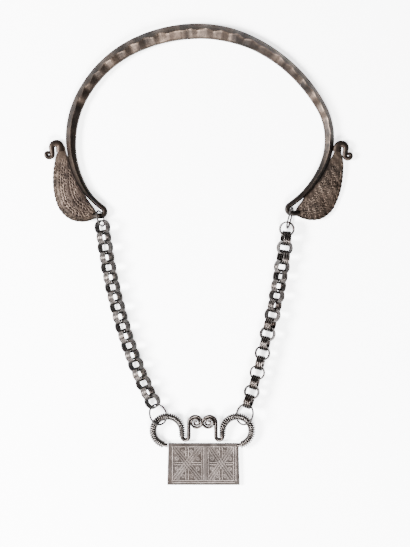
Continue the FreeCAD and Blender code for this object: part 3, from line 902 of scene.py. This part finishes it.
def plate_shell(sizes, shell):
    """Plate with its raised pattern, softened rim and plain back."""
    cols, rows = 300, 176
    u = np.linspace(-1.0, 1.0, cols)[None]
    v = np.linspace(0.0, 1.0, rows)[:, None]
    half = (PLATE_TOP_WIDTH + (PLATE_BASE_WIDTH - PLATE_TOP_WIDTH) * v) / 2.0
    y = PLATE_TOP - PLATE_HEIGHT * v + 0.0 * u
    x = PLATE_X + half * u
    relief = plate_relief(x, y)
    edge = np.minimum((1.0 - np.abs(u)) * half, np.minimum(v, 1.0 - v) * PLATE_HEIGHT)
    fall = (1.0 - smooth(0.0, 0.5, edge)) * 0.5
    wave = 0.05 * np.sin(x * 0.6) * np.sin(y * 0.5 + 1.0)
    high = sizes.plate_thick + relief * sizes.relief_height - fall + wave * smooth(0.0, 2.0, edge)
    upper = np.stack([x, y, high], -1).reshape(-1, 3)
    faces = [(a, d, c, b) for a, b, c, d in grid_faces(rows, cols)]
    count = rows * cols
    rim = grid_rim(rows, cols)
    rim = rim[:1] + rim[:0:-1]
    low = upper[rim].copy()
    low[:, 2] = 0.35
    foot = low.copy()
    centre = np.array([PLATE_X, PLATE_TOP - PLATE_HEIGHT / 2.0, 0.0])
    foot[:, :2] = centre[:2] + (foot[:, :2] - centre[:2]) * (1.0 - 0.35 / 14.0)
    foot[:, 2] = 0.0
    size = len(rim)
    walls = []
    for index in range(size):
        after = (index + 1) % size
        walls.append((rim[after], rim[index], count + index, count + after))
        walls.append((count + after, count + index, count + size + index, count + size + after))
    back = tuple(count + size + index for index in reversed(range(size)))
    points = np.concatenate([upper, low, foot])
    crest = 0.22 + 0.85 * relief - 0.2 * (1.0 - smooth(0.0, 0.8, edge))
    # Painted shade: dark bands along the plate's bottom edge and along its left edge.
    crest = crest - 0.6 * (1.0 - smooth(0.35, 1.0, (1.0 - v) * PLATE_HEIGHT + 0.0 * u))
    crest = crest - 0.3 * (1.0 - smooth(0.2, 0.8, (1.0 + u) * half))
    crest = crest.reshape(-1)
    crest = np.concatenate([np.clip(crest, 0.0, 1.0), np.full(2 * size, 0.4)])
    shell.add(points, faces + walls + [back], crest, 0.5)


def arm_rings(side):
    """Rings of the bare wire of an arm, its small bend and its scroll."""
    place, total = arm_path()

    def thick(distance):
        share = distance / total
        closing = 1.0 - 0.7 * float(smooth(0.992, 1.0, share))
        return lerp(ARM_WIRE, share, 1) * closing

    loop = ARM_RADIUS * 1.5 * math.pi
    distances = np.concatenate([np.linspace(0.0, loop, 60), np.linspace(loop + 0.3, total, 170)])
    return set_arm(side, round_tube(place, distances, lambda distance: 0.0, thick, 18))


def coil_guide(side, sizes):
    """Curve along the wound part of an arm; its radius is the winding's centre radius."""
    place, total = arm_path()
    end = ARM_RADIUS * 1.5 * math.pi + ARM_DROP
    distances = np.linspace(sizes.coil_start, end, 240)
    spots = (set_arm(side, [place(distance)[:2] + (0.0,) for distance in distances]) + SHIFT) * MM
    curve = bpy.data.curves.new("coil_guide", "CURVE")
    curve.dimensions = "3D"
    line = curve.splines.new("POLY")
    line.points.add(len(spots) - 1)
    for point, spot, distance in zip(line.points, spots, distances):
        share = (distance - sizes.coil_start) / (end - sizes.coil_start)
        thinner = float(smooth(COIL_TAPER, 1.0, share)) * (sizes.coil_end_wire - sizes.coil_wire)
        wire = sizes.coil_wire + thinner
        point.co = (*spot, 1.0)
        point.radius = (lerp(ARM_WIRE, distance / total, 1) / 2.0 + COIL_AIR + wire / 2.0) * MM
    return put("coil_guide", curve)


def coil_tree():
    """Winds a wire round a curve whose radius is that of the winding."""
    graph, given, names = new_tree("winding", [
        ("Turns", "Float", 36.0), ("Points", "Int", 700), ("Wire", "Float", 0.0005),
        ("End wire", "Float", 0.0003), ("Sides", "Int", 8), ("Material", "Material", None)])

    def vector(operation, inputs):
        return graph.node("ShaderNodeVectorMath", {"operation": operation}, inputs)

    fine = graph.node("GeometryNodeResampleCurve", None, {
        "Curve": given["Geometry"], "Count": given["Points"]})
    share = graph.node("GeometryNodeSplineParameter", None, None, "Factor")
    tangent = graph.node("GeometryNodeInputTangent")
    rise = math.radians(ARM_RISE)
    up = graph.node("FunctionNodeInputVector", {"vector": (0.0, -math.sin(rise), math.cos(rise))})
    side = vector("CROSS_PRODUCT", {0: tangent, 1: up})
    radius = graph.node("GeometryNodeInputRadius")
    turn = share * given["Turns"] * (2.0 * math.pi)
    across = vector("SCALE", {0: side, "Scale": turn.join("COSINE") * radius})
    lifted = vector("SCALE", {0: up, "Scale": turn.join("SINE") * radius})
    moved = graph.node("GeometryNodeSetPosition", None, {
        "Geometry": fine, "Offset": vector("ADD", {0: across, 1: lifted})})
    taper = graph.node("ShaderNodeMapRange", {"interpolation_type": "SMOOTHSTEP"}, {
        "Value": share, "From Min": COIL_TAPER, "From Max": 1.0,
        "To Min": given["Wire"], "To Max": given["End wire"]}, "Result")
    thick = graph.node("GeometryNodeSetCurveRadius", None, {"Curve": moved, "Radius": taper})
    outline = graph.node("GeometryNodeCurvePrimitiveCircle", None, {
        "Resolution": given["Sides"], "Radius": 1.0}, "Curve")
    skin = graph.node("GeometryNodeCurveToMesh", None, {
        "Curve": thick, "Profile Curve": outline, "Scale": taper, "Fill Caps": True})
    close_tree(graph, skin, given["Material"])
    return graph.tree, names


# Settings

def size(name, words, default, **more):
    return FloatProperty(name=name, description=words, default=default, **more)


def whole(name, words, default):
    return IntProperty(name=name, description=words, default=default)


def colour(name, words, default):
    return FloatVectorProperty(name=name, description=words, default=default, subtype="COLOR")


class TorqueSizes(bpy.types.PropertyGroup):
    loop_lift: size("Loop lift", "Height of the end loops above the surface, mm", 1.4)
    leaf_thick: size("Leaf thickness", "Thickness of the leaf, mm", 1.3)
    leaf_dome: size("Leaf dome", "Radius of the leaf's doming, mm", 40.0)
    leaf_crown: size("Leaf crown", "Height of the leaf's crown, mm", 3.5)
    punch_depth: size("Punch depth", "Depth of the punched strokes, mm", 0.32)
    punch_width: size("Punch width", "Half width of a punched stroke, mm", 0.27)
    edge_pitch: size("Edge pitch", "Distance between the notches of the leaf's edge, mm", 2.0)
    seed: whole("Seed", "Seed of the hand-made variation", 7)


class ChainSizes(bpy.types.PropertyGroup):
    link_outer: size("Link outside", "Outside diameter of a link, mm", 8.85)
    link_wire: size("Link wire", "Diameter of one wire of a link, mm", 0.8)
    link_step: size("Link step", "Distance from wire to wire, mm", 1.2)
    link_web: size("Link web", "Thickness of the solder between wires, mm", 0.45)


class LockSizes(bpy.types.PropertyGroup):
    plate_thick: size("Plate thickness", "Thickness of the plate's ground, mm", 2.4)
    relief_height: size("Relief height", "Height of the raised pattern, mm", 0.16)
    coil_start: size("Coil start", "Bare wire before the winding, mm", 2.4)
    coil_turns: whole("Coil turns", "Turns of the winding on each arm", 36)
    coil_wire: size("Coil wire", "Diameter of the winding wire, mm", 0.95)
    coil_end_wire: size("Coil end wire", "Diameter of the winding wire at its thin end, mm", 0.62)


class TorqueFinish(bpy.types.PropertyGroup):
    # The dark colours serve both for tarnish and for painted shade, the light ones both for rubbed metal
    # and for painted light.
    rod_dark: colour("Rod dark", "Tarnish on the rod", (0.005, 0.004, 0.0036))
    rod_light: colour("Rod light", "Worn metal on the rod", (0.058, 0.041, 0.031))
    leaf_dark: colour("Leaf dark", "Tarnish in the punched strokes", (0.006, 0.004, 0.003))
    leaf_light: colour("Leaf light", "Worn metal on the leaves", (0.095, 0.068, 0.052))
    chain_dark: colour("Chain dark", "Tarnish in the links' flutes", (0.003, 0.0026, 0.0026))
    chain_light: colour("Chain light", "Worn metal on the links", (0.085, 0.073, 0.067))
    coil_light: colour("Coil light", "Worn metal on the winding", (0.1, 0.09, 0.085))
    ring_light: colour("Ring light", "Worn metal on the jump rings", (0.045, 0.041, 0.039))
    ring_dark: colour("Ring dark", "Tarnish on the jump rings", (0.012, 0.0105, 0.01))
    lock_dark: colour("Lock dark", "Tarnish in the plate's ground", (0.016, 0.0125, 0.011))
    lock_light: colour("Lock light", "Worn metal on the plate", (0.105, 0.088, 0.081))
    tarnish_tint: colour("Tarnish tint", "Warm tint of old tarnish", (0.018, 0.0095, 0.005))
    grain_strength: size("Grain", "Strength of the fine surface grain", 0.35)


class StageSizes(bpy.types.PropertyGroup):
    view_height: size("View height", "Height of the pictured area", 0.31726, unit="LENGTH")
    distance: size("Distance", "Camera distance", 1.6, unit="LENGTH")
    floor_size: size("Floor size", "Side of the floor", 3.0, unit="LENGTH")
    floor_colour: colour("Floor colour", "Colour of the floor", (0.93, 0.93, 0.935))
    floor_glow: size("Floor glow", "Light that the paper gives off, as on a light table", 2.7)
    key_power: size("Key light", "Power of the main soft light, watts", 110.0)
    fill_power: size("Fill light", "Power of the second soft light, watts", 80.0)
    world_level: size("World level", "Strength of the even surrounding light", 0.35)


# Operators

class TORQUE_OT_torque(bpy.types.Operator):
    """Forged rod, end loops, punched leaves and curled tips"""
    bl_idname = "torque.torque"
    bl_label = "Torque"

    def execute(self, context):
        sizes = context.scene.torque_sizes
        rng = np.random.default_rng(sizes.seed)
        halves = []
        for side in SIDES:
            rings, crests, tones = rod_rings(side, sizes, rng)
            more, more_crests = loop_rings(side, sizes)
            halves.append((rings + more, crests + more_crests, tones + [0.0] * len(more)))
        left, right = halves
        rings, crests, tones = [left[part][:0:-1] + right[part] for part in range(3)]
        shell = Shell()
        turned = flip_if_inward(rings)
        crests = np.asarray(crests)
        if np.allclose(turned[0][0], rings[0][-1]):
            crests = crests[:, ::-1]
        shell.loft(turned, crests, tones)
        for side in SIDES:
            shell.loft(flip_if_inward(curl_rings(side)), 0.42, 0.35)
        rod_faces = len(shell.faces)
        for side in SIDES:
            leaf_shell(side, sizes, shell, rng)
        piece = make_piece(
            "torque_forged", shell, rod_faces, ["torque_rod_silver", "torque_leaf_silver"], 32.0)
        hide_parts("torque")
        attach(piece, "root")
        return {"FINISHED"}


class TORQUE_OT_chains(bpy.types.Operator):
    """Two chains of fluted links"""
    bl_idname = "torque.chains"
    bl_label = "Chains"

    def execute(self, context):
        sizes = context.scene.chain_sizes
        rng = np.random.default_rng(CHAIN_SEED)
        tree, names = chain_tree()
        blank = link_blank(sizes)
        ring = (sizes.link_outer - sizes.link_wire) / 2.0
        half = 1.5 * sizes.link_step
        for side in SIDES:
            rows = link_centres(side)
            height = max(
                ring * abs(math.sin(roll)) + half * abs(math.cos(roll)) + sizes.link_wire / 2.0
                for x, y, lean, roll in rows)
            mesh = bpy.data.meshes.new(side + "_chain_points")
            spots = [((x + SHIFT[0]) * MM, (y + SHIFT[1]) * MM, height * MM) for x, y, lean, roll in rows]
            mesh.from_pydata(spots, [], [])
            axes = [(math.sin(roll) * math.cos(lean), math.sin(roll) * math.sin(lean), math.cos(roll))
                    for x, y, lean, roll in rows]
            mark(mesh, "axis", axes, "FLOAT_VECTOR")
            # Painted light on the left chain: odd links are painted darker and even links lighter, as the
            # light falls on their alternate turns; a random variation lies on top.
            odd = np.arange(len(rows)) % 2 == 0
            level = np.where(odd, 0.25, 0.85) if side == "left" else np.full(len(rows), 0.55)
            mark(mesh, "tone", level + rng.uniform(-0.15, 0.15, len(rows)))
            piece = run_tree(put(side + "_chain_points", mesh), tree, names, side + "_chain", {
                "Link": blank, "Material": silver("chain_silver")})
            nodes = ["%s_link_%02d" % (side, number) for number in range(1, LINK_COUNT + 1)]
            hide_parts(*nodes)
            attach(piece, "root")
        bpy.data.objects.remove(blank)
        return {"FINISHED"}


class TORQUE_OT_rings(bpy.types.Operator):
    """Finish of the four jump rings"""
    bl_idname = "torque.rings"
    bl_label = "Jump rings"

    def execute(self, context):
        finish = silver("ring_silver")
        for name in ("left_top_ring", "right_top_ring", "left_lock_ring", "right_lock_ring"):
            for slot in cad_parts[name].material_slots:
                slot.material = finish
        return {"FINISHED"}


class TORQUE_OT_lock(bpy.types.Operator):
    """Lock pendant: plate, arms and scrolls"""
    bl_idname = "torque.lock"
    bl_label = "Lock pendant"

    def execute(self, context):
        sizes = context.scene.lock_sizes
        shell = Shell()
        plate_shell(sizes, shell)
        plate_faces = len(shell.faces)
        for side in SIDES:
            shell.loft(flip_if_inward(arm_rings(side)), 0.62, 0.5)
        piece = make_piece("lock_pendant", shell, plate_faces, ["lock_silver", "chain_silver"], 40.0)
        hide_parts("lock")
        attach(piece, "root")
        return {"FINISHED"}


class TORQUE_OT_coils(bpy.types.Operator):
    """Wire wound round the pendant's arms"""
    bl_idname = "torque.coils"
    bl_label = "Coils"

    def execute(self, context):
        sizes = context.scene.lock_sizes
        tree, names = coil_tree()
        for side in SIDES:
            guide = coil_guide(side, sizes)
            line = np.array([tuple(point.co)[:3] for point in guide.data.splines[0].points])
            piece = run_tree(guide, tree, names, side + "_winding", {
                "Turns": float(sizes.coil_turns),
                "Points": sizes.coil_turns * COIL_STEPS,
                "Wire": sizes.coil_wire / 2.0 * MM,
                "End wire": sizes.coil_end_wire / 2.0 * MM,
                "Sides": 8,
                "Material": silver("coil_silver"),
            })
            mesh = piece.data
            spots = np.empty(len(mesh.vertices) * 3)
            mesh.vertices.foreach_get("co", spots)
            gaps = spots.reshape(-1, 1, 3) - line[None]
            away = np.sqrt((gaps ** 2).sum(2)).min(1) / MM
            mark(mesh, "crest", np.clip((away - 1.75) / 0.4, 0.0, 1.0))
            mark(mesh, "tone", np.full(len(away), 0.5))
            smooth_faces(mesh)
            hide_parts(side + "_coil")
            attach(piece, "root")
        return {"FINISHED"}


class TORQUE_OT_stage(bpy.types.Operator):
    """Pale floor, soft light and camera"""
    bl_idname = "torque.stage"
    bl_label = "Stage"

    def execute(self, context):
        stage = context.scene.stage_sizes
        half = stage.floor_size / 2.0
        mesh = bpy.data.meshes.new("floor")
        corners = [(-half, -half), (half, -half), (half, half), (-half, half)]
        mesh.from_pydata([(x, y, -FLOOR_GAP) for x, y in corners], [], [(0, 1, 2, 3)])
        paper = stage.floor_colour[:] + (1.0,)
        material, graph = new_material("floor_paper")
        surface = graph.node("ShaderNodeBsdfPrincipled", None, {
            "Base Color": paper, "Roughness": 0.9,
            "Emission Color": paper, "Emission Strength": stage.floor_glow})
        graph.node("ShaderNodeOutputMaterial", None, {"Surface": surface})
        mesh.materials.append(material)
        floor = put("floor", mesh)
        world = bpy.data.worlds.new("studio")
        world.use_nodes = True
        ground = world.node_tree.nodes["Background"]
        ground.inputs["Color"].default_value = (0.97, 0.98, 1.0, 1.0)
        ground.inputs["Strength"].default_value = stage.world_level
        context.scene.world = world
        lights = [  # name, place, size, power
            ("key", (-0.9, -0.05, 0.75), 0.4, stage.key_power),
            ("fill", (0.1, -0.9, 0.9), 0.5, stage.fill_power),
        ]
        for name, place, size, power in lights:
            data = bpy.data.lights.new(name, "AREA")
            data.shape = "DISK"
            data.size = size
            data.energy = power
            lamp = put(name, data)
            lamp.location = place
            lamp.rotation_euler = (-Vector(place)).to_track_quat("-Z", "Y").to_euler()
        data = bpy.data.cameras.new("camera")
        data.sensor_width = SENSOR
        data.lens = SENSOR * stage.distance / stage.view_height
        data.clip_start = 0.05
        data.clip_end = 20.0
        camera = put("camera", data)
        x, y = (VIEW_MIDDLE[axis] + SHIFT[axis] for axis in (0, 1))
        camera.location = (x * MM, y * MM, VIEW_LEVEL + stage.distance)
        context.scene.camera = camera
        return {"FINISHED"}


class TORQUE_PT_panel(bpy.types.Panel):
    """Lists the torque's pieces"""
    bl_idname = "TORQUE_PT_panel"
    bl_label = "Torque"
    bl_space_type = "VIEW_3D"
    bl_region_type = "UI"
    bl_category = "Torque"

    def draw(self, context):
        column = self.layout.column()
        for operator in OPERATORS:
            column.operator(operator.bl_idname)
        for group in ("torque_sizes", "chain_sizes", "lock_sizes", "torque_finish", "stage_sizes"):
            settings = getattr(context.scene, group)
            for key in settings.bl_rna.properties.keys():
                if key not in ("rna_type", "name"):
                    column.prop(settings, key)


GROUPS = [
    ("torque_sizes", TorqueSizes),
    ("chain_sizes", ChainSizes),
    ("lock_sizes", LockSizes),
    ("torque_finish", TorqueFinish),
    ("stage_sizes", StageSizes),
]
OPERATORS = [
    TORQUE_OT_torque,
    TORQUE_OT_chains,
    TORQUE_OT_rings,
    TORQUE_OT_lock,
    TORQUE_OT_coils,
    TORQUE_OT_stage,
]


def register():
    for name, group in GROUPS:
        bpy.utils.register_class(group)
        setattr(bpy.types.Scene, name, PointerProperty(type=group))
    for operator in OPERATORS:
        bpy.utils.register_class(operator)
    bpy.utils.register_class(TORQUE_PT_panel)


def unregister():
    bpy.utils.unregister_class(TORQUE_PT_panel)
    for operator in reversed(OPERATORS):
        bpy.utils.unregister_class(operator)
    for name, group in reversed(GROUPS):
        delattr(bpy.types.Scene, name)
        bpy.utils.unregister_class(group)


def main():
    register()
    bpy.ops.torque.stage()
    bpy.ops.torque.torque()
    bpy.ops.torque.chains()
    bpy.ops.torque.rings()
    bpy.ops.torque.lock()
    bpy.ops.torque.coils()


if __name__ == "__main__":
    main()
